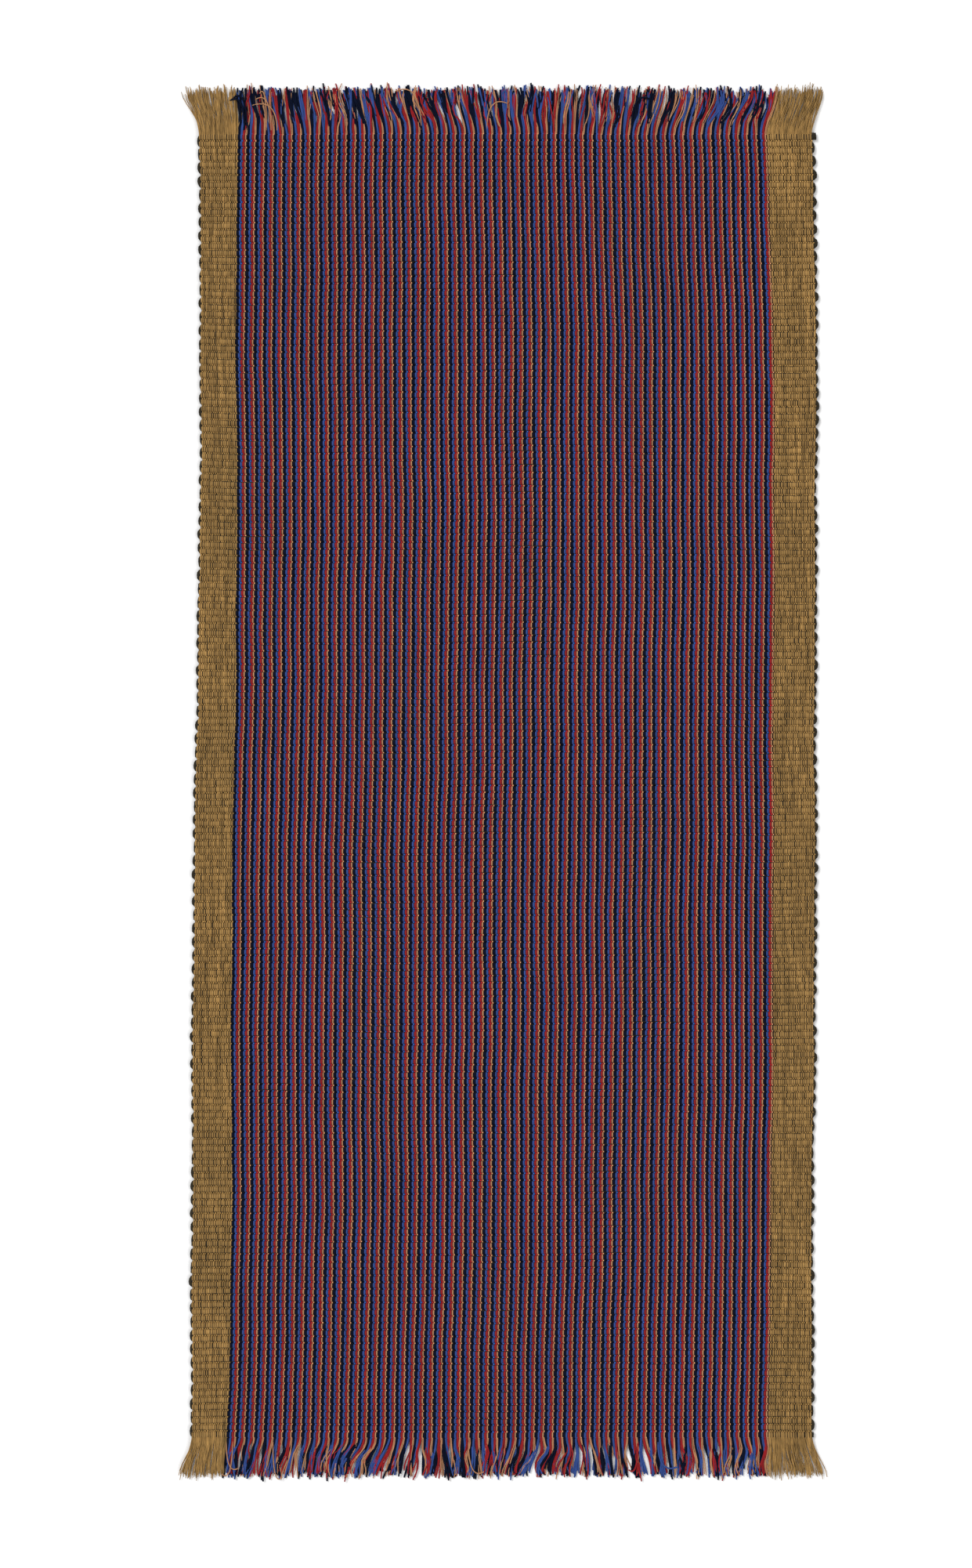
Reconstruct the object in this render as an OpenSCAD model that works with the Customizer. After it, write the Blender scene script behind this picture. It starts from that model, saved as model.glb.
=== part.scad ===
// Runner rug, warp-faced rep weave, lying flat, face up. Millimetres.
// +X runs across the width, +Y along the length, +Z up from the floor.

/* [Overall size] */
// Width of the cloth across the warp, without the cord turns at the selvedges
fabric_width = 800; // [480:10:1200]
// Length of the ribbed cloth along the warp, without headers and fringes
woven_length = 1680; // [840:10:2400]
// Longest fringe strand at the +Y end
fringe_top = 60; // [30:1:90]
// Longest fringe strand at the -Y end
fringe_bottom = 50; // [30:1:90]

/* [Ribs] */
// Distance from one rib to the next
rib_pitch = 8.75; // [7:0.05:12]
// Height of the heavy cord that fills each rib
cord_height = 4.4; // [3:0.1:6]
// How far the cord's turns stand out beyond the cloth's edge
turn_reach = 4; // [2.5:0.1:5]
// Thickness of the fine weft between the ribs and in the headers
binding_diameter = 1.6; // [1:0.1:2.2]
// Room on each side of a fine pick between two cords
pick_clearance = 0.1; // [0.05:0.05:0.3]
// Length of the plain header at each end
header_length = 5; // [4:0.5:12]
// How far the header picks stop short of the cloth's edges
header_inset = 1.5; // [0.5:0.5:5]

/* [Warp] */
// Distance between two stripes of the middle field
stripe_pitch = 3.017; // [2.4:0.01:4]
// Distance between two ends of the plain borders
border_pitch = 2.857; // [2.4:0.01:4]
// Width of the plain border at -X
border_left_width = 48.6; // [30:0.1:90]
// Width of the plain border at +X
border_right_width = 51.4; // [30:0.1:90]
// Thickness of one layer of warp over or under the ribs
warp_thickness = 1.1; // [0.8:0.1:1.6]
// Gap between neighbouring warp ends
warp_gap = 0.26; // [0.1:0.02:0.5]

/* [Fringe] */
// Thickness of a fringe bundle at its free end
fringe_tip_thickness = 2.4; // [1.6:0.1:3.2]
// How far from the header a bundle takes to thin down
fringe_taper = 14; // [6:1:24]

/* [Cut ends of the cord] */
// How far the first rib's cut end stands out at +X
first_tail = 5.5; // [2:0.5:12]
// How far the last rib's cut end stands out at +X
last_tail = 2.5; // [2:0.5:12]

/* [Hidden] */
$fn = 32;
rib_count = 2 * round(woven_length / (2 * rib_pitch));
pitch_y = woven_length / rib_count;
field_width = fabric_width - border_left_width - border_right_width;
repeats = round(field_width / (4 * stripe_pitch));
pitch_x = field_width / (4 * repeats);
left_ends = round(border_left_width / border_pitch);
right_ends = round(border_right_width / border_pitch);
left_pitch = border_left_width / left_ends;
right_pitch = border_right_width / right_ends;
field_x = border_left_width - fabric_width / 2;
right_x = fabric_width / 2 - border_right_width;
total_length = woven_length + 2 * header_length + fringe_top + fringe_bottom;
cloth_y0 = fringe_bottom - total_length / 2;
cloth_y1 = total_length / 2 - fringe_top;
rib_y1 = cloth_y1 - header_length;
mid_z = warp_thickness + cord_height / 2;
face_z = warp_thickness + cord_height;
full_z = face_z + warp_thickness;
cord_width = pitch_y - binding_diameter - 2 * pick_clearance;
turn_x = fabric_width / 2 + turn_reach - pitch_y / 2 - cord_width / 2;

tan_yarn = [0.60, 0.43, 0.31];
red_yarn = [0.52, 0.13, 0.14];
blue_yarn = [0.16, 0.25, 0.58];
black_yarn = [0.07, 0.07, 0.12];
border_yarn = [0.60, 0.49, 0.32];
cord_felt = [0.16, 0.15, 0.11];

// Height along the length of rib i, counted from the +Y end
function rib_y(i) = rib_y1 - (i + 0.5) * pitch_y;

// The cord's outline when the warp has pressed it flat
module cord_section() {
  flat = cord_width - cord_height;
  square([flat, cord_height], center = true);
  for (s = [-1, 1]) translate([s * flat / 2, 0]) circle(d = cord_height);
}

// A straight run of the cord along rib i, ending at x1 on the +X side
module run(i, x1)
  translate([-turn_x, rib_y(i), mid_z]) rotate([90, 0, 90])
    linear_extrude(turn_x + x1) cord_section();

// A half turn of the cord at one selvedge, side -1 or 1, from rib i to the next
module turn(i, side)
  translate([side * turn_x, rib_y(i + 0.5), mid_z]) rotate([0, 0, -90 * side])
    rotate_extrude(angle = 180) translate([pitch_y / 2, 0]) cord_section();

// A fine round pick laid across the width between x0 and x1
module pick(x0, x1, y)
  translate([x0, y, mid_z]) rotate([0, 90, 0]) cylinder(d = binding_diameter, h = x1 - x0);

// One layer of one warp end over the ribs, its outer edges rounded off
module face_end(x, width)
  translate([x, cloth_y1, face_z]) rotate([90, 0, 0])
    linear_extrude(cloth_y1 - cloth_y0) end_section(width);

// The same layer under the ribs, flat on the floor
module back_end(x, width)
  translate([x, cloth_y1, warp_thickness]) mirror([0, 0, 1]) rotate([90, 0, 0])
    linear_extrude(cloth_y1 - cloth_y0) end_section(width);

module end_section(width) {
  w = (width - warp_gap) / 2;
  c = warp_thickness * 0.35;
  h = warp_thickness;
  polygon([[-w, 0], [w, 0], [w, h - c], [w - c, h], [c - w, h], [-w, h - c]]);
}

// A bundle of loose warp at one end of the cloth, as thick as the cloth at the header
module bundle(x, width, len)
  translate([x - (width - warp_gap) / 2, 0, 0]) rotate([90, 0, 90])
    linear_extrude(width - warp_gap)
      polygon([[0, 0], [len, 0], [len, fringe_tip_thickness],
               [fringe_taper, fringe_tip_thickness * 1.3], [0, full_z]]);

module bundle_top(x, width) translate([0, cloth_y1, 0]) bundle(x, width, fringe_top);
module bundle_bottom(x, width)
  translate([0, cloth_y0, 0]) mirror([0, 1, 0]) bundle(x, width, fringe_bottom);

// Centre of stripe k (0 black, 1 blue, 2 red, 3 tan) in repeat r
function stripe_x(r, k) = field_x + (4 * r + k + 0.5) * pitch_x;
function left_x(j) = (j + 0.5) * left_pitch - fabric_width / 2;
function right_end_x(j) = right_x + (j + 0.5) * right_pitch;

// The heavy cord lies rib by rib; its first and last runs end as cut tails at +X
module rib_cord() color(cord_felt)
  for (i = [0 : rib_count - 1])
    run(i, i == 0 ? fabric_width / 2 + first_tail
        : i == rib_count - 1 ? fabric_width / 2 + last_tail : turn_x);

module cord_turns_left() color(cord_felt) for (i = [0 : 2 : rib_count - 2]) turn(i, -1);
module cord_turns_right() color(cord_felt) for (i = [1 : 2 : rib_count - 2]) turn(i, 1);

// Fine picks that lock the warp between the ribs
module binding_weft() color(black_yarn)
  for (i = [0 : rib_count - 2]) pick(-turn_x, turn_x, rib_y(i + 0.5));

// Two fine picks side by side past the outer rib at each end
module header_picks(y0)
  for (s = [-1, 1])
    pick(-fabric_width / 2 + header_inset, fabric_width / 2 - header_inset,
         y0 + s * (binding_diameter / 2 + pick_clearance));

module header_top() color(black_yarn) header_picks(cloth_y1 - header_length / 2);
module header_bottom() color(black_yarn) header_picks(cloth_y0 + header_length / 2);

module warp_face_black() color(black_yarn) for (r = [0 : repeats - 1]) face_end(stripe_x(r, 0), pitch_x);
module warp_face_blue() color(blue_yarn) for (r = [0 : repeats - 1]) face_end(stripe_x(r, 1), pitch_x);
module warp_face_red() color(red_yarn) for (r = [0 : repeats - 1]) face_end(stripe_x(r, 2), pitch_x);
module warp_face_tan() color(tan_yarn) for (r = [0 : repeats - 1]) face_end(stripe_x(r, 3), pitch_x);
module warp_back_black() color(black_yarn) for (r = [0 : repeats - 1]) back_end(stripe_x(r, 0), pitch_x);
module warp_back_blue() color(blue_yarn) for (r = [0 : repeats - 1]) back_end(stripe_x(r, 1), pitch_x);
module warp_back_red() color(red_yarn) for (r = [0 : repeats - 1]) back_end(stripe_x(r, 2), pitch_x);
module warp_back_tan() color(tan_yarn) for (r = [0 : repeats - 1]) back_end(stripe_x(r, 3), pitch_x);

module border_left_face() color(border_yarn) for (j = [0 : left_ends - 1]) face_end(left_x(j), left_pitch);
module border_left_back() color(border_yarn) for (j = [0 : left_ends - 1]) back_end(left_x(j), left_pitch);
module border_right_face() color(border_yarn)
  for (j = [0 : right_ends - 1]) face_end(right_end_x(j), right_pitch);
module border_right_back() color(border_yarn)
  for (j = [0 : right_ends - 1]) back_end(right_end_x(j), right_pitch);

module fringe_top_black() color(black_yarn) for (r = [0 : repeats - 1]) bundle_top(stripe_x(r, 0), pitch_x);
module fringe_top_blue() color(blue_yarn) for (r = [0 : repeats - 1]) bundle_top(stripe_x(r, 1), pitch_x);
module fringe_top_red() color(red_yarn) for (r = [0 : repeats - 1]) bundle_top(stripe_x(r, 2), pitch_x);
module fringe_top_tan() color(tan_yarn) for (r = [0 : repeats - 1]) bundle_top(stripe_x(r, 3), pitch_x);
module fringe_bottom_black() color(black_yarn)
  for (r = [0 : repeats - 1]) bundle_bottom(stripe_x(r, 0), pitch_x);
module fringe_bottom_blue() color(blue_yarn)
  for (r = [0 : repeats - 1]) bundle_bottom(stripe_x(r, 1), pitch_x);
module fringe_bottom_red() color(red_yarn)
  for (r = [0 : repeats - 1]) bundle_bottom(stripe_x(r, 2), pitch_x);
module fringe_bottom_tan() color(tan_yarn)
  for (r = [0 : repeats - 1]) bundle_bottom(stripe_x(r, 3), pitch_x);
module fringe_top_left() color(border_yarn) for (j = [0 : left_ends - 1]) bundle_top(left_x(j), left_pitch);
module fringe_top_right() color(border_yarn)
  for (j = [0 : right_ends - 1]) bundle_top(right_end_x(j), right_pitch);
module fringe_bottom_left() color(border_yarn)
  for (j = [0 : left_ends - 1]) bundle_bottom(left_x(j), left_pitch);
module fringe_bottom_right() color(border_yarn)
  for (j = [0 : right_ends - 1]) bundle_bottom(right_end_x(j), right_pitch);

rib_cord();
cord_turns_left();
cord_turns_right();
binding_weft();
header_top();
header_bottom();
warp_face_black();
warp_face_blue();
warp_face_red();
warp_face_tan();
warp_back_black();
warp_back_blue();
warp_back_red();
warp_back_tan();
border_left_face();
border_left_back();
border_right_face();
border_right_back();
fringe_top_black();
fringe_top_blue();
fringe_top_red();
fringe_top_tan();
fringe_bottom_black();
fringe_bottom_blue();
fringe_bottom_red();
fringe_bottom_tan();
fringe_top_left();
fringe_top_right();
fringe_bottom_left();
fringe_bottom_right();
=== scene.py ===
import math

import bmesh
import bpy
import numpy as np
from mathutils import Matrix, Vector


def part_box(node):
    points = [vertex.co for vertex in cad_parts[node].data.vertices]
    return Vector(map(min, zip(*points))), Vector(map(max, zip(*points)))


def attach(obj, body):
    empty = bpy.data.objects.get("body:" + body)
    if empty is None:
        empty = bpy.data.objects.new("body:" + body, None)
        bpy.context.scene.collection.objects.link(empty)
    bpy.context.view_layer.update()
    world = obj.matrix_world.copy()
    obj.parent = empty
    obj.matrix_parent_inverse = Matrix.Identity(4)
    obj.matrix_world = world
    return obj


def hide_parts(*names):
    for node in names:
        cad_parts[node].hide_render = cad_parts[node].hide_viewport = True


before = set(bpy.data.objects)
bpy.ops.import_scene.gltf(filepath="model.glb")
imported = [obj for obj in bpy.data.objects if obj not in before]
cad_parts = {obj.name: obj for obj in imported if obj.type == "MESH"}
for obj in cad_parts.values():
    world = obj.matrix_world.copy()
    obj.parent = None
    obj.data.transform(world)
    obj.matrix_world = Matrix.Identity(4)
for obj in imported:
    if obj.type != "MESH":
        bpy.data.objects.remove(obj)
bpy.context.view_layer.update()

MM = 0.001

# ---------------------------------------------------------------- sizes, in metres
face_low, face_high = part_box("warp_face_black")
back_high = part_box("warp_back_black")[1]
left_low, left_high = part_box("border_left_face")
right_low, right_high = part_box("border_right_face")
cord_low, cord_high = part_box("rib_cord")
picks_low, picks_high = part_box("binding_weft")
fringe_top_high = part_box("fringe_top_black")[1]
fringe_bottom_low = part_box("fringe_bottom_black")[0]

RIBS = 192
REPEATS = 58
LEFT_ENDS, RIGHT_ENDS = 17, 18
YARN_GAP = 0.26 * MM

cloth_bottom, cloth_top = face_low[1], face_high[1]
pick_diameter = picks_high[2] - picks_low[2]
rib_pitch = (picks_high[1] - picks_low[1] - pick_diameter) / (RIBS - 2)
middle_y = (picks_high[1] + picks_low[1]) / 2
ribs_top = middle_y + rib_pitch * RIBS / 2
ribs_bottom = middle_y - rib_pitch * RIBS / 2

cloth_left = left_low[0] - YARN_GAP / 2
cloth_right = right_high[0] + YARN_GAP / 2
half_width = (cloth_right - cloth_left) / 2
left_pitch = (left_high[0] - left_low[0] + YARN_GAP) / LEFT_ENDS
right_pitch = (right_high[0] - right_low[0] + YARN_GAP) / RIGHT_ENDS
field_left = cloth_left + left_pitch * LEFT_ENDS
field_right = cloth_right - right_pitch * RIGHT_ENDS
stripe_pitch = (field_right - field_left) / (4 * REPEATS)

cloth_thickness = face_high[2]
yarn_thickness = back_high[2]
cord_height = cord_high[2] - cord_low[2]
cord_width = cord_high[1] - cord_low[1] - rib_pitch * (RIBS - 1)
cord_z = (cord_high[2] + cord_low[2]) / 2
fringe_top = fringe_top_high[1] - cloth_top
fringe_bottom = cloth_bottom - fringe_bottom_low[1]

COLOURS = ("black", "blue", "red", "tan")


# ---------------------------------------------------------------- how the loose cloth lies
def lengthwise(v, a, b, c, d, s, k):
    """How far one lengthwise line of the cloth has drifted, in millimetres, v from -1 to 1."""
    return a + b * v + c * v**2 + d * v**3 + s * np.sin(5 * v) + k * np.cos(5 * v)


def settle(x, y):
    """Where a point of the true rectangle lies on the rug as it was put down."""
    x, y = np.asarray(x, float), np.asarray(y, float)
    v = np.clip((y - middle_y) / (ribs_top - middle_y), -1.08, 1.08)
    w = np.clip(v, -1, 1)
    left = lengthwise(w, 2.24, 10.5, -1.08, -4.66, 0.83, -0.8)
    left_seam = lengthwise(w, 2.56, 0.81, -2.22, 9.67, 2.86, -0.56)
    right_seam = lengthwise(w, -1.59, 5.85, -8.75, -8.56, -0.97, -1.22)
    right = lengthwise(w, -1.42, 8.68, -3.53, -11.72, -1.95, -0.16)
    a = np.clip((x - cloth_left) / (field_left - cloth_left), -0.3, 1)
    b = np.clip((x - field_left) / (field_right - field_left), 0, 1)
    c = np.clip((x - field_right) / (cloth_right - field_right), 0, 1.3)
    drift = np.where(
        x < field_left, left + (left_seam - left) * a,
        np.where(x < field_right, left_seam + (right_seam - left_seam) * b,
                 right_seam + (right - right_seam) * c))
    wave = (0.6 * np.sin(y * 21 + 5 * x + 1.3) + 0.3 * np.sin(y * 37 - 9 * x + 0.4)
            + 0.15 * np.sin(y * 73 + 17 * x + 2.0))
    bow = (0.9 * np.sin(x * 11 + 1.9 * y + 0.6) + 0.5 * np.sin(x * 27 - 3.1 * y + 2.2)
           + 0.3 * np.sin(x * 61 + 7 * y + 4.0))
    return x + (drift + wave) * MM, y + bow * MM * (1 - 0.6 * np.abs(w) ** 6)


def rib_level(x, y):
    """How thickly the ribs stand here, about 1: some ribs are beaten tighter than others."""
    rib = np.round((ribs_top - y) / rib_pitch - 0.5)
    beat = np.sin(rib * 12.9898) * 43758.5453
    beat = beat - np.floor(beat)
    return (1 + 0.11 * (beat - 0.5) + 0.05 * np.sin(x * 31 + rib * 0.9)
            + 0.03 * np.sin(x * 83 - y * 40))


# ---------------------------------------------------------------- mesh helpers
def shown_piece(name, data, material, nodes):
    """A finished piece that rides with the rug and stands for these solids."""
    piece = bpy.data.objects.new(name, data)
    bpy.context.scene.collection.objects.link(piece)
    data.materials.append(material)
    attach(piece, "root")
    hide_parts(*nodes)
    return piece


def repeated(name, bm, count, step, weld=False):
    """A mesh of count copies of a shape, each a step on from the last."""
    unit = bpy.data.meshes.new(name + "_unit")
    bm.to_mesh(unit)
    bm.free()
    maker = bpy.data.objects.new(name + "_unit", unit)
    bpy.context.scene.collection.objects.link(maker)
    array = maker.modifiers.new("copies", "ARRAY")
    array.count = count
    array.use_relative_offset = False
    array.use_constant_offset = True
    array.constant_offset_displace = step
    array.use_merge_vertices = weld
    array.merge_threshold = 1e-6
    ready = maker.evaluated_get(bpy.context.evaluated_depsgraph_get())
    mesh = bpy.data.meshes.new_from_object(ready)
    mesh.name = name
    bpy.data.objects.remove(maker)
    bpy.data.meshes.remove(unit)
    mesh.shade_smooth()
    return mesh


def points_of(mesh):
    co = np.empty(len(mesh.vertices) * 3, np.float32)
    mesh.vertices.foreach_get("co", co)
    return co.reshape(-1, 3).astype(float)


def put_points(mesh, x, y, z):
    mesh.vertices.foreach_set("co", np.stack([x, y, z], 1).astype(np.float32).ravel())
    mesh.update()


def scatter(seed, *shape):
    """Seeded numbers from -1 to 1."""
    return np.random.RandomState(seed).uniform(-1, 1, shape)


def sweep(bm, steps, dvec):
    """Draws the whole shape on by steps of dvec, leaving a tube."""
    bmesh.ops.spin(bm, geom=bm.verts[:] + bm.edges[:] + bm.faces[:], cent=(0, 0, 0), axis=(0, 0, 1),
                   angle=0, steps=steps, dvec=dvec, use_duplicate=False)


# ---------------------------------------------------------------- warp yarn
# shares of a rib's pitch that a strand spans as it floats, of the stripe that a back strand sits to
# the right of its face strand, and of the yarn's thickness that a strand is deep
FACE_FLOAT, BACK_FLOAT = 0.57, 0.46
DOT_SHIFT = 0.36
STRAND_DEPTH = 0.74
# heights as shares of the cloth's thickness: at the cloth's ends, and at a crossing's crest and edges
LEAD_HEIGHT = 0.62
CREST_HEIGHT, EDGE_HEIGHT = 0.28, 0.05
# painted light that the yarn finish reads: a painted highlight on a crossing where it shows as a dot,
# and painted shade on one deep in a furrow
DOT_HIGHLIGHT, FURROW_SHADE = 1, -0.75
# how loosely the yarn lies, in millimetres
SLIP, LIFT = 0.3, 0.14


def strand_rings(back, thrifty):
    """Each ring of one strand, as its place along the cloth and its kind. A thrifty strand is plainer
    in places: a few flat crossings on the face, and one ring to the outer ribs on the back."""
    reach = (BACK_FLOAT if back else FACE_FLOAT) * rib_pitch / 2
    rings = [(ribs_top, "crossing")] if back else [(cloth_top, "lead")]
    for i in range(RIBS):
        y = ribs_top - (i + 0.5) * rib_pitch
        flat = thrifty and not back and i % 40 == 20
        single = thrifty and back and i in (0, RIBS - 1)
        rings += [(y, "float")] if single else [(y + reach, "float"), (y - reach, "float")]
        rings.append((y - rib_pitch / 2, "flat crossing" if flat else "crossing"))
    return rings if back else [*rings[:-1], (cloth_bottom, "lead")]


def one_strand(width, dot, back, plain, thrifty):
    """A three-sided yarn, swept down the cloth. It floats over each rib and crosses to the other side
    between two ribs, where it shows as a dot. A back strand is made face up too. A plain one has a
    flat crossing."""
    rings = strand_rings(back, thrifty)
    depth = STRAND_DEPTH * yarn_thickness
    bm = bmesh.new()
    ring = bmesh.ops.create_circle(bm, segments=3, radius=1, cap_ends=True)["verts"]
    bmesh.ops.rotate(bm, verts=ring, cent=(0, 0, 0), matrix=Matrix.Rotation(math.radians(90), 3, "X"))
    sweep(bm, len(rings) - 1, (0, -1, 0))
    for v in bm.verts:
        y, kind = rings[round(-v.co.y)]
        top = v.co.z > 0.5
        side = -1 if v.co.x < 0 else 1
        if kind == "crossing" and top and not plain:
            v.co = Vector((0, y, CREST_HEIGHT * cloth_thickness))
        elif kind.endswith("crossing"):
            v.co = Vector((dot * width * (1 if top else side), y, EDGE_HEIGHT * cloth_thickness))
        else:
            crown = cloth_thickness * (1 if kind == "float" else LEAD_HEIGHT)
            v.co = Vector((0 if top else side * width, y, crown if top else max(crown - depth, 0)))
    bmesh.ops.remove_doubles(bm, verts=bm.verts[:], dist=1e-6)
    bmesh.ops.recalc_face_normals(bm, faces=bm.faces[:])
    return bm


def warp_yarn(name, material, nodes, first_x, step, count, width, dot, back, seed, loose=0.09):
    """All the strands of one colour on one side of the cloth."""
    bm = one_strand(width, dot, back, material.name.startswith("black"), count > 40)
    bmesh.ops.translate(bm, verts=bm.verts[:], vec=(first_x, 0, 0))
    if back:
        bmesh.ops.scale(bm, verts=bm.verts[:], vec=(1, 1, -1))
        bmesh.ops.translate(bm, verts=bm.verts[:], vec=(0, 0, cloth_thickness))
        bmesh.ops.reverse_faces(bm, faces=bm.faces[:])
    mesh = repeated(name, bm, count, (step, 0, 0))
    co = points_of(mesh)
    strand = np.clip(np.round((co[:, 0] - first_x) / step).astype(int), 0, count - 1)
    centre = first_x + strand * step
    rib = np.clip(np.floor((ribs_top - co[:, 1]) / rib_pitch).astype(int) + 1, 0, RIBS + 1)
    crossing = co[:, 2] > 0.7 * cloth_thickness if back else co[:, 2] < 0.3 * cloth_thickness
    outer = co[:, 2] < 0.2 * cloth_thickness if back else co[:, 2] > 0.8 * cloth_thickness

    def vary(k, amount):
        return amount * scatter(seed + k, count, RIBS + 2)[strand, rib]

    roam = (0.14 * np.sin(co[:, 1] * 95 + strand * 2.4)
            + 0.12 * np.sin(co[:, 1] * 37 + strand * 1.7))
    x = centre + (co[:, 0] - centre) * (1 + vary(0, loose)) + (vary(1, 1.1 * loose) + roam) * MM
    y = co[:, 1] + vary(2, SLIP) * MM
    z = co[:, 2] + vary(3, LIFT) * MM * outer
    if back:
        x = x + DOT_SHIFT * min(step, stripe_pitch)
        z = np.maximum(z, 0.02 * MM)
    else:
        z = np.where(outer, cord_z + (z - cord_z) * rib_level(x, co[:, 1]), z)
    put_points(mesh, *settle(x, y), z)
    # painted light: crossings that show as dots get a painted highlight, crossings deep in a furrow get
    # painted shade
    shows = np.abs(co[:, 2] - cloth_thickness / 2) > 0.35 * cloth_thickness
    highlight_and_shade = crossing * np.where(shows, DOT_HIGHLIGHT, FURROW_SHADE)
    painted_light_tone = mesh.attributes.new("painted_light_tone", "FLOAT", "POINT")
    painted_light_tone.data.foreach_set("value", highlight_and_shade.astype(np.float32))
    return shown_piece(name, mesh, material, nodes)


# ---------------------------------------------------------------- heavy cord
# how far the cord's two cut ends stick out, and how much wider the first one has frayed
FIRST_TAIL, LAST_TAIL = 6.0 * MM, 2.8 * MM
FRAYED_END = 1.35
# how much of its reach a turn keeps once the cord is pulled tight, on each side
RIGHT_TURN, LEFT_TURN, TURN_VARIATION = 0.62, 0.48, 0.14


def cord_ring(bm, centre):
    """The cord's outline, pressed flat by the warp, standing across the cord."""
    ring = bmesh.ops.create_circle(bm, segments=6, radius=cord_height / 2)["verts"]
    bmesh.ops.rotate(bm, verts=ring, cent=(0, 0, 0), matrix=Matrix.Rotation(math.radians(30), 3, "Z"))
    bmesh.ops.rotate(bm, verts=ring, cent=(0, 0, 0), matrix=Matrix.Rotation(math.radians(90), 3, "Y"))
    for v in ring:
        v.co.y += math.copysign((cord_width - cord_height) / 2, v.co.y)
    bmesh.ops.translate(bm, verts=ring, vec=centre)


def cord_unit(turn_x, y):
    """A run to the left, a turn, a run to the right and a turn: two ribs of the cord."""
    bm = bmesh.new()
    cord_ring(bm, (turn_x, y, cord_z))
    last = bm.verts[:] + bm.edges[:]
    for side in (-1, 1):
        last = bmesh.ops.spin(bm, geom=last, cent=(0, 0, 0), axis=(0, 0, 1), angle=0, steps=5,
                              dvec=(side * 2 * turn_x / 5, 0, 0), use_duplicate=False)["geom_last"]
        last = bmesh.ops.spin(bm, geom=last, cent=(side * turn_x, y - rib_pitch / 2, cord_z),
                              axis=(0, 0, 1), angle=-side * math.pi, steps=6, dvec=(0, 0, 0),
                              use_duplicate=False)["geom_last"]
        y -= rib_pitch
    return bm


def rib_cord(material):
    """One length of cord, laid rib by rib from its first cut end, with a half turn at each selvedge."""
    turn_x = half_width - 0.6 * MM
    first_y = ribs_top - rib_pitch / 2
    last_y = ribs_bottom + rib_pitch / 2
    unit = cord_unit(turn_x, first_y)
    mesh = repeated("rib_cord_length", unit, RIBS // 2, (0, -2 * rib_pitch, 0), weld=True)
    bm = bmesh.new()
    bm.from_mesh(mesh)
    spare = [v for v in bm.verts if v.co.y < last_y - 0.55 * cord_width
             or (v.co.y < last_y + 0.6 * cord_width and v.co.x > turn_x + 1e-5
                 and v.co.y < last_y + 0.5 * rib_pitch)]
    bmesh.ops.delete(bm, geom=spare, context="VERTS")
    for v in bm.verts:
        if abs(v.co.x - turn_x) < 1e-5 and abs(v.co.y - first_y) < 0.51 * cord_width:
            v.co.x += FIRST_TAIL
            v.co.y = first_y + 1.5 * MM + FRAYED_END * (v.co.y - first_y)
        if abs(v.co.x - turn_x) < 1e-5 and abs(v.co.y - last_y) < 0.51 * cord_width:
            v.co.x += LAST_TAIL
    bmesh.ops.holes_fill(bm, edges=bm.edges[:], sides=6)
    bmesh.ops.recalc_face_normals(bm, faces=bm.faces[:])
    bm.to_mesh(mesh)
    bm.free()
    co = points_of(mesh)
    side = np.sign(co[:, 0])
    past = np.maximum(np.abs(co[:, 0]) - half_width + 1.2 * MM, 0)
    out = np.clip(past / (8 * MM), 0, 1)
    place = (ribs_top - co[:, 1]) / rib_pitch
    turn = np.round(place).astype(int)
    tail = (side > 0) & ((place < 0.99) | (place > RIBS - 0.99))
    share = (np.where(side > 0, RIGHT_TURN, LEFT_TURN)
             + TURN_VARIATION * scatter(71, RIBS + 3)[turn + (side > 0)])
    share = np.where(tail, 1, share)
    x = co[:, 0] - side * past * (1 - share) + side * out * 0.2 * MM * scatter(72, len(co))
    y = co[:, 1] + out * (0.3 * MM * scatter(73, len(co)) + 0.4 * MM * scatter(75, RIBS + 3)[turn])
    z = co[:, 2] + out * 0.25 * MM * scatter(74, len(co))
    put_points(mesh, *settle(x, y), z)
    return shown_piece("rib_cord_length", mesh, material,
                       ["rib_cord", "cord_turns_left", "cord_turns_right"])


def fine_picks(name, material, nodes, ys, x0, x1):
    """Fine picks straight across the cloth, drawn tight by the warp."""
    bm = bmesh.new()
    ring = bmesh.ops.create_circle(bm, segments=4, radius=0.3 * pick_diameter, cap_ends=True)["verts"]
    bmesh.ops.rotate(bm, verts=ring, cent=(0, 0, 0), matrix=Matrix.Rotation(math.radians(90), 3, "Y"))
    bmesh.ops.translate(bm, verts=ring, vec=(x0, ys[0], cord_z))
    sweep(bm, 4, ((x1 - x0) / 4, 0, 0))
    bmesh.ops.recalc_face_normals(bm, faces=bm.faces[:])
    mesh = repeated(name, bm, len(ys), (0, ys[1] - ys[0], 0))
    co = points_of(mesh)
    put_points(mesh, *settle(co[:, 0], co[:, 1]), co[:, 2])
    return shown_piece(name, mesh, material, nodes)


# ---------------------------------------------------------------- fringe
# how far inside the cloth a thread starts, the usual share of the longest thread's length at each
# end, and how many threads part from their neighbours
ROOT_DEPTH = 5.5 * MM
TOP_SHARE, BOTTOM_SHARE = 0.855, 0.84
STRAY_CHANCE = 0.16


def clump_centres(seed):
    """Where the loose threads of one fringe gather, from side to side."""
    rng = np.random.RandomState(seed)
    centres = [cloth_left]
    while centres[-1] < cloth_right:
        centres.append(centres[-1] + rng.uniform(9, 22) * MM)
    return np.array(centres)


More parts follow.
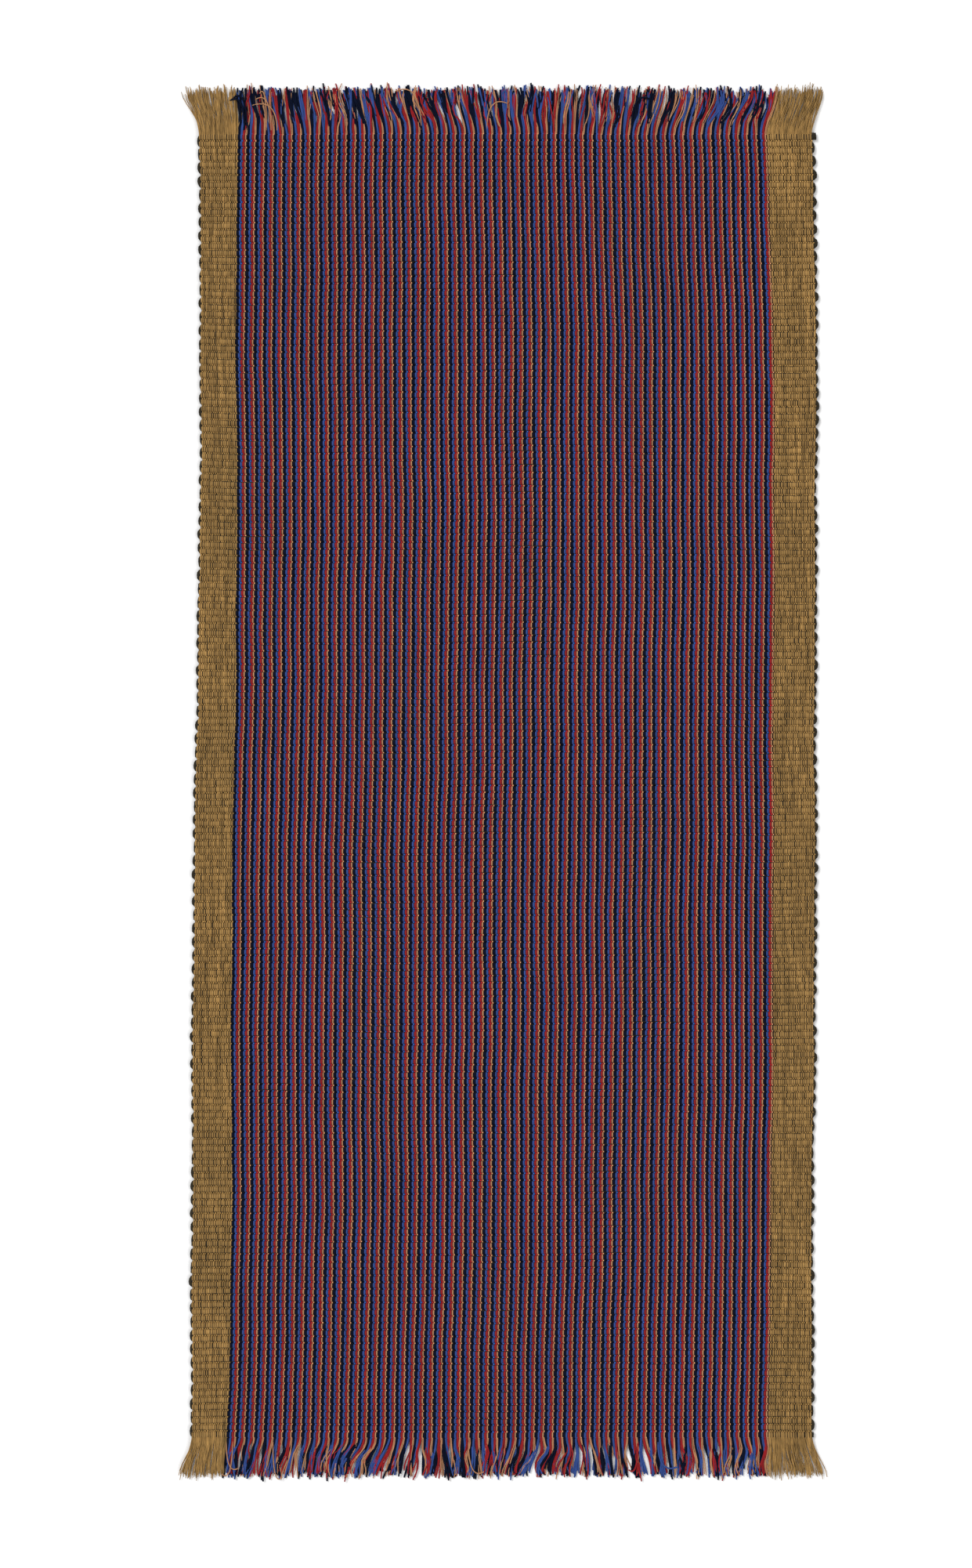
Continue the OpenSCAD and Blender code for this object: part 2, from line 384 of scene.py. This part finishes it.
def lean(x, top):
    """How far the tips lean sideways here, in metres, with the corners spread outwards."""
    s = x / half_width
    corner = (3 if s > 0 else 15) if top else 13
    spread = corner * math.copysign(max(0.0, (abs(s) - 0.86) / 0.14) ** 1.3, s)
    heaps = (((-0.72, 0.14, -7), (-0.46, 0.14, -7), (-0.20, 0.17, -14), (0.60, 0.30, 13),
              (1, 0.2, 9)) if top else
             ((-0.70, 0.20, -10), (-0.40, 0.13, -16), (0.10, 0.09, -14), (0.52, 0.30, 5)))
    for middle, reach, amount in heaps:
        spread += amount * math.exp(-((s - middle) / reach) ** 2)
    return spread * MM


def swing(x, top):
    """How far the threads swing to and fro on their way, in metres, and where they start."""
    k = 0.0 if top else 2.1
    far = 1.5 * math.sin(11 * x + 2.0 + k) + 1.3 * math.sin(37 * x + k)
    return far * MM, 1.4 + 1.3 * math.sin(15 * x + 3 * k)


def lay_thread(curve, points, radius):
    spline = curve.splines.new("POLY")
    spline.points.add(len(points) - 1)
    for j, (x, y, z) in enumerate(points):
        spline.points[j].co = (x, y, max(z, radius * 1.05), 1)
        spline.points[j].radius = (0.8, 1.0, 1.08)[min(j, 2)] if j < len(points) - 1 else 0.85
    spline.use_smooth = True


def soft_path(root, tip, out, length, z0, rest, sway, phase, waves, hop, splay):
    """A soft S from inside the header to the cut tip, sinking to where it rests, splayed near the
    tip."""
    path = []
    for j in range(8):
        t = j / 7
        ease = t * t * (3 - 2 * t)
        x = root[0] + (tip - root[0]) * (0.3 * t + 0.7 * ease)
        x += sway * min(1, 2.5 * t) * (math.sin(phase + math.tau * waves * t) - math.sin(phase))
        x += splay * max(0.0, (t - 0.4) / 0.6) ** 1.4
        y = root[1] + out * length * t
        fall = min(1.0, t / 0.6)
        z = z0 + (rest - z0) * fall * fall * (3 - 2 * fall) + hop * math.sin(math.pi * t)
        path.append((x, y, z))
    return path


def arching_path(root, far, out, reach):
    """A thread that climbs out of the rest and bends over sideways."""
    path = []
    for j in range(14):
        t = j / 13
        path.append((root[0] + far * t ** 2.2, root[1] + out * reach * math.sin(1.9 * t),
                     0.8 * cloth_thickness + 1.2 * MM * math.sin(math.pi * t)))
    return path


def lay_column(curve, rng, x, gather, top, border, per_end, radius):
    """The loose threads of one warp end. They lie much alike, and a few stray."""
    end_y = cloth_top if top else cloth_bottom
    out = 1 if top else -1
    longest = fringe_top if top else fringe_bottom
    usual = TOP_SHARE if top else BOTTOM_SHARE
    column_tip = x + (gather - x) * rng.uniform(0.1, 0.45 if top else 0.8) * (0.4 if border else 1)
    column_tip += lean(x, top) + rng.normal(0, 1.2 if border else 2.4) * MM
    far, phase = swing(x, top)
    far = 0.25 * far if border else far + rng.normal(0, 1.0) * MM
    rest = rng.uniform(0.9, 4.6 if border else 3.4) * MM
    waves = rng.uniform(0.7, 1.3)
    for j in range(per_end):
        place = (j + 0.5) / per_end - 0.5
        apart = 3.6 if rng.uniform() < STRAY_CHANCE else 0.85
        tip = column_tip + place * 2.8 * MM + rng.normal(0, apart * (1.5 if border else 1)) * MM
        length = longest * min(max(usual + 0.06 * rng.normal(), 0.7), 1.03) + ROOT_DEPTH
        root = [float(c) for c in settle(x + place * 2.6 * MM, end_y)]
        root[1] -= out * ROOT_DEPTH
        z0 = cloth_thickness * (0.9 if j % 2 else 0.55) - radius
        path = soft_path(root, float(settle(tip, end_y)[0]), out, length, z0,
                         rest + rng.uniform(-0.6, 1.2) * MM, far + rng.normal(0, 0.35) * MM,
                         phase + rng.normal(0, 0.25), waves, rng.uniform(0, 1.5) * MM,
                         rng.normal(0, 1.2 if border else 2.6) * MM)
        lay_thread(curve, path, radius)


def fringe(name, material, node, slot, ends, top, seed, per_end, radius, arches=()):
    """The loose threads of one colour at one end of the rug. Arches are the few that stray far."""
    curve = bpy.data.curves.new(name, "CURVE")
    curve.dimensions = "3D"
    curve.bevel_depth = radius
    curve.bevel_resolution = 0
    curve.use_fill_caps = True
    rng = np.random.RandomState(seed)
    centres = clump_centres(5 if top else 6)
    for x in ends:
        gather = centres[np.argmin(np.abs(centres - x))]
        lay_column(curve, rng, x, gather, top, slot == "border_warp", per_end, radius)
    for x, far, reach in arches:
        root = [float(c) for c in settle(x * MM, cloth_top if top else cloth_bottom)]
        lay_thread(curve, arching_path(root, far * MM, 1 if top else -1, reach * MM), radius)
    return shown_piece(name, curve, material, [node])


# ---------------------------------------------------------------- yarn finish
def yarn_sockets(face):
    face.new_socket("Colour", in_out="INPUT", socket_type="NodeSocketColor")
    face.new_socket("Worn colour", in_out="INPUT", socket_type="NodeSocketColor")
    # the last socket sets how strong the painted highlight on dots and the painted shade in furrows are
    for socket, value in (("Strand variation", 0.3), ("Wear", 0.3), ("Twist per mm", 0.8),
                          ("Fuzz", 0.4), ("Painted light strength", 0.7)):
        s = face.new_socket(socket, in_out="INPUT", socket_type="NodeSocketFloat")
        s.default_value = value
    face.new_socket("Colour", in_out="OUTPUT", socket_type="NodeSocketColor")
    face.new_socket("Roughness", in_out="OUTPUT", socket_type="NodeSocketFloat")
    face.new_socket("Height", in_out="OUTPUT", socket_type="NodeSocketFloat")


def yarn_group():
    """Spun yarn: tone from strand to strand, a painted highlight on the dots and painted shade deep in
    the furrows, worn patches, ply twist and fuzz.
    """
    group = bpy.data.node_groups.new("spun_yarn", "ShaderNodeTree")
    yarn_sockets(group.interface)
    n, link = group.nodes, group.links.new

    def node(kind, **values):
        made = n.new("ShaderNode" + kind)
        for key, value in values.items():
            setattr(made, key, value)
        return made

    def maths(operation, a, b, clamp=False):
        m = node("Math", operation=operation, use_clamp=clamp)
        for i, v in enumerate((a, b)):
            if isinstance(v, (int, float)):
                m.inputs[i].default_value = v
            else:
                link(v, m.inputs[i])
        return m.outputs[0]

    inputs = n.new("NodeGroupInput")
    outputs = n.new("NodeGroupOutput")
    place = node("TexCoord").outputs["Object"]

    def noise(scale, detail=2.0, rough=0.5):
        stretch = node("Mapping")
        stretch.inputs["Scale"].default_value = scale
        link(place, stretch.inputs["Vector"])
        made = node("TexNoise", noise_dimensions="3D")
        made.inputs["Scale"].default_value = 1
        made.inputs["Detail"].default_value = detail
        made.inputs["Roughness"].default_value = rough
        link(stretch.outputs[0], made.inputs["Vector"])
        return made.outputs["Fac"]

    strand = noise((330, 9, 40), 1)
    streak = noise((1250, 22, 900), 1)
    float_tone = noise((240, 115, 60), 1)
    patch = noise((7, 5, 5), 3, 0.6)
    fibre = noise((1600, 900, 1600), 2, 0.6)

    turn = node("Mapping")
    turn.inputs["Rotation"].default_value = (0, 0, math.radians(52))
    link(place, turn.inputs["Vector"])
    twist = node("TexWave", wave_type="BANDS", bands_direction="X", wave_profile="SIN")
    link(turn.outputs[0], twist.inputs["Vector"])
    link(maths("MULTIPLY", inputs.outputs["Twist per mm"], 320.0), twist.inputs["Scale"])
    twist.inputs["Distortion"].default_value = 0.6
    twist.inputs["Detail"].default_value = 1

    tone = maths("ADD", maths("MULTIPLY", strand, 0.4), maths("MULTIPLY", float_tone, 0.25))
    tone = maths("ADD", tone, maths("MULTIPLY", streak, 0.35))
    tone = maths("SUBTRACT", tone, 0.5)
    tone = maths("MULTIPLY", tone, inputs.outputs["Strand variation"])
    light = maths("ADD", 1.0, maths("MULTIPLY", tone, 4.5))
    light = maths("MULTIPLY", light, maths("ADD", 0.86, maths("MULTIPLY", fibre, 0.28)))
    light = maths("MULTIPLY", light, maths("ADD", 0.9, maths("MULTIPLY", twist.outputs["Fac"], 0.2)))
    # painted light: the colour is made lighter on the dots and darker deep in the furrows, scaled by
    # the last socket's strength
    painted_light_tone = node("Attribute", attribute_name="painted_light_tone").outputs["Fac"]
    painted_light_amount = maths("ADD", 1.0, maths("MULTIPLY", painted_light_tone, inputs.outputs["Painted light strength"]))
    light = maths("MULTIPLY", light, painted_light_amount)

    scaled = node("VectorMath", operation="SCALE")
    link(inputs.outputs["Colour"], scaled.inputs[0])
    link(light, scaled.inputs["Scale"])
    worn = node("Mix", data_type="RGBA", clamp_factor=True)
    share = maths("MULTIPLY", maths("SUBTRACT", patch, 0.42), 3.0, True)
    link(maths("MULTIPLY", share, inputs.outputs["Wear"]), worn.inputs["Factor"])
    link(scaled.outputs[0], worn.inputs["A"])
    link(inputs.outputs["Worn colour"], worn.inputs["B"])
    link(worn.outputs["Result"], outputs.inputs["Colour"])
    link(maths("ADD", 0.78, maths("MULTIPLY", fibre, 0.2), True), outputs.inputs["Roughness"])
    height = maths("ADD", maths("MULTIPLY", twist.outputs["Fac"], 0.7),
                   maths("MULTIPLY", fibre, inputs.outputs["Fuzz"]))
    link(height, outputs.inputs["Height"])
    return group


# the last argument sets how strong the painted highlight on dots and the painted shade in furrows are
def yarn_material(name, group, colour, worn, variation=0.3, wear=0.3, twist=0.8, fuzz=0.4,
                  sheen=0.05, bump=0.35, painted_light_amount=0.7):
    material = bpy.data.materials.new(name)
    material.use_nodes = True
    n, link = material.node_tree.nodes, material.node_tree.links.new
    shader = n["Principled BSDF"]
    yarn = n.new("ShaderNodeGroup")
    yarn.node_tree = group
    yarn.inputs["Colour"].default_value = (*colour, 1)
    yarn.inputs["Worn colour"].default_value = (*worn, 1)
    yarn.inputs["Strand variation"].default_value = variation
    yarn.inputs["Wear"].default_value = wear
    yarn.inputs["Twist per mm"].default_value = twist
    yarn.inputs["Fuzz"].default_value = fuzz
    yarn.inputs["Painted light strength"].default_value = painted_light_amount
    bumps = n.new("ShaderNodeBump")
    bumps.inputs["Strength"].default_value = bump
    bumps.inputs["Distance"].default_value = 0.0004
    link(yarn.outputs["Colour"], shader.inputs["Base Color"])
    link(yarn.outputs["Roughness"], shader.inputs["Roughness"])
    link(yarn.outputs["Height"], bumps.inputs["Height"])
    link(bumps.outputs["Normal"], shader.inputs["Normal"])
    shader.inputs["Sheen Weight"].default_value = sheen
    shader.inputs["Sheen Roughness"].default_value = 0.5
    shader.inputs["Specular IOR Level"].default_value = 0.1
    return material


# ---------------------------------------------------------------- stage
# the lens and sensor in millimetres, and how much floor the camera takes in from top to bottom
LENS, SENSOR = 85, 36
VIEW_HEIGHT = 2.019


def plain_material(name, colour, roughness):
    material = bpy.data.materials.new(name)
    material.use_nodes = True
    shader = material.node_tree.nodes["Principled BSDF"]
    shader.inputs["Base Color"].default_value = (*colour, 1)
    shader.inputs["Roughness"].default_value = roughness
    shader.inputs["Specular IOR Level"].default_value = 0.1
    return material


def studio():
    scene = bpy.context.scene
    bm = bmesh.new()
    bmesh.ops.create_grid(bm, x_segments=1, y_segments=1, size=40)
    mesh = bpy.data.meshes.new("floor")
    bm.to_mesh(mesh)
    bm.free()
    floor = bpy.data.objects.new("floor", mesh)
    floor.location.z = -0.0002
    scene.collection.objects.link(floor)
    mesh.materials.append(plain_material("pale_floor", (0.9, 0.9, 0.9), 0.9))

    world = bpy.data.worlds.new("soft_room")
    scene.world = world
    world.use_nodes = True
    background = world.node_tree.nodes["Background"]
    background.inputs["Color"].default_value = (1, 1, 1, 1)
    background.inputs["Strength"].default_value = 0.55

    def soft_light(name, place, strength, spread):
        light = bpy.data.lights.new(name, "SUN")
        light.energy = strength
        light.angle = math.radians(spread)
        lamp = bpy.data.objects.new(name, light)
        lamp.location = place
        lamp.rotation_mode = "QUATERNION"
        lamp.rotation_quaternion = (-Vector(place)).to_track_quat("-Z", "Y")
        scene.collection.objects.link(lamp)

    soft_light("key_light", (-2.2, 2.0, 3.6), 1.95, 27)
    soft_light("fill_light", (2.6, -1.2, 3.4), 0.85, 37)

    camera = bpy.data.objects.new("camera", bpy.data.cameras.new("camera"))
    camera.data.lens = LENS
    camera.data.sensor_width = SENSOR
    camera.location = (-0.0247, -0.0025, VIEW_HEIGHT * LENS / SENSOR + cloth_thickness)
    scene.collection.objects.link(camera)
    scene.camera = camera
    scene.view_settings.view_transform = "Standard"
    scene.view_settings.look = "None"


# ---------------------------------------------------------------- the rug
def make_rug():
    yarn = yarn_group()
    finish = {
        "black": yarn_material("black_yarn", yarn, (0.0012, 0.0036, 0.015), (0.004, 0.006, 0.014),
                                wear=0.25, sheen=0.0),
        "blue": yarn_material("blue_yarn", yarn, (0.03, 0.068, 0.25), (0.03, 0.05, 0.15), wear=0.25),
        "red": yarn_material("red_yarn", yarn, (0.275, 0.011, 0.014), (0.17, 0.02, 0.026), wear=0.25),
        "tan": yarn_material("tan_yarn", yarn, (0.43, 0.215, 0.108), (0.31, 0.165, 0.095), wear=0.25),
    }
    # the border yarn gets a weaker painted highlight and painted shade at its crossings
    border = yarn_material("border_yarn", yarn, (0.312, 0.184, 0.06), (0.215, 0.132, 0.045),
                            variation=0.8, wear=0.45, painted_light_amount=0.3)
    cord = yarn_material("cord_felt", yarn, (0.022, 0.018, 0.011), (0.05, 0.042, 0.026),
                         twist=0.3, fuzz=1.0, bump=0.6)
    binding = yarn_material("binding_yarn", yarn, (0.09, 0.06, 0.032), (0.06, 0.045, 0.03))

    # where each colour's strand stands in a repeat, in stripes, and how full it is
    half = stripe_pitch / 2
    place = {"black": 0.42, "blue": 1.44, "red": 2.48, "tan": 3.36}
    fullness = {"black": 1.26, "blue": 1.0, "red": 1.02, "tan": 0.66}
    borders = (("left", cloth_left + left_pitch / 2, left_pitch, LEFT_ENDS),
               ("right", field_right + right_pitch / 2, right_pitch, RIGHT_ENDS))
    for k, colour in enumerate(COLOURS):
        first = field_left + place[colour] * stripe_pitch
        for back in (False, True):
            side = "back" if back else "face"
            warp_yarn(f"{colour}_yarn_{side}", finish[colour], [f"warp_{side}_{colour}"],
                                    first, 4 * stripe_pitch, REPEATS,
                                    half * fullness[colour], 0.76, back, 100 + 10 * k + 5 * back)
    for side, first, step, count in borders:
        for back in (False, True):
            layer = "back" if back else "face"
            warp_yarn(f"{side}_border_{layer}", border, [f"border_{side}_{layer}"],
                                    first, step, count, step / 2 * 0.95, 0.66, back,
                                    160 + 10 * (side == "right") + 5 * back, loose=0.27)

    fine_picks("fine_picks", binding, ["binding_weft"],
                             [ribs_top - (i + 1) * rib_pitch for i in range(RIBS - 1)],
                             cloth_left + MM, cloth_right - MM)
    for name, node in (("header_picks_top", "header_top"), ("header_picks_bottom", "header_bottom")):
        low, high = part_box(node)
        fine_picks(name, binding, [node],
                                 [low[1] + pick_diameter / 2, high[1] - pick_diameter / 2],
                                 low[0], high[0])

    thickness = {"black": 1.22, "blue": 1.0, "red": 0.96, "tan": 0.66}
    threads = {"black": 5, "blue": 5, "red": 4, "tan": 4}
    # for each end and colour: where a stray thread starts, how far it bends over, how far it reaches
    arches = {(True, "tan"): ((-300, -32, 34), (-308, -20, 42), (-314, -9, 50), (-109, -34, 52),
                              (-22, 26, 36)),
              (True, "black"): ((-340, -17, 44), (-343, -19, 40), (170, 24, 42)),
              (False, "tan"): ((-352, 16, 36), (-344, -14, 44), (-292, 12, 48), (-40, 20, 40)),
              (False, "blue"): ((206, 25, 34),), (False, "red"): ((180, -12, 38),)}
    for top in (True, False):
        end = "top" if top else "bottom"
        for k, colour in enumerate(COLOURS):
            ends = [field_left + (4 * r + k + 0.5) * stripe_pitch for r in range(REPEATS)]
            fringe(f"fringe_threads_{end}_{colour}", finish[colour],
                                 f"fringe_{end}_{colour}", f"{colour}_warp", ends, top,
                                 300 + 10 * k + top, threads[colour], thickness[colour] * MM,
                                 arches.get((top, colour), ()))
        for side, first, step, count in borders:
            fringe(f"fringe_threads_{end}_{side}", border, f"fringe_{end}_{side}",
                                 "border_warp", [first + step * j for j in range(count)], top,
                                 350 + 10 * (side == "left") + top, 8, 0.48 * MM)

    core = rib_cord(cord)


make_rug()
studio()
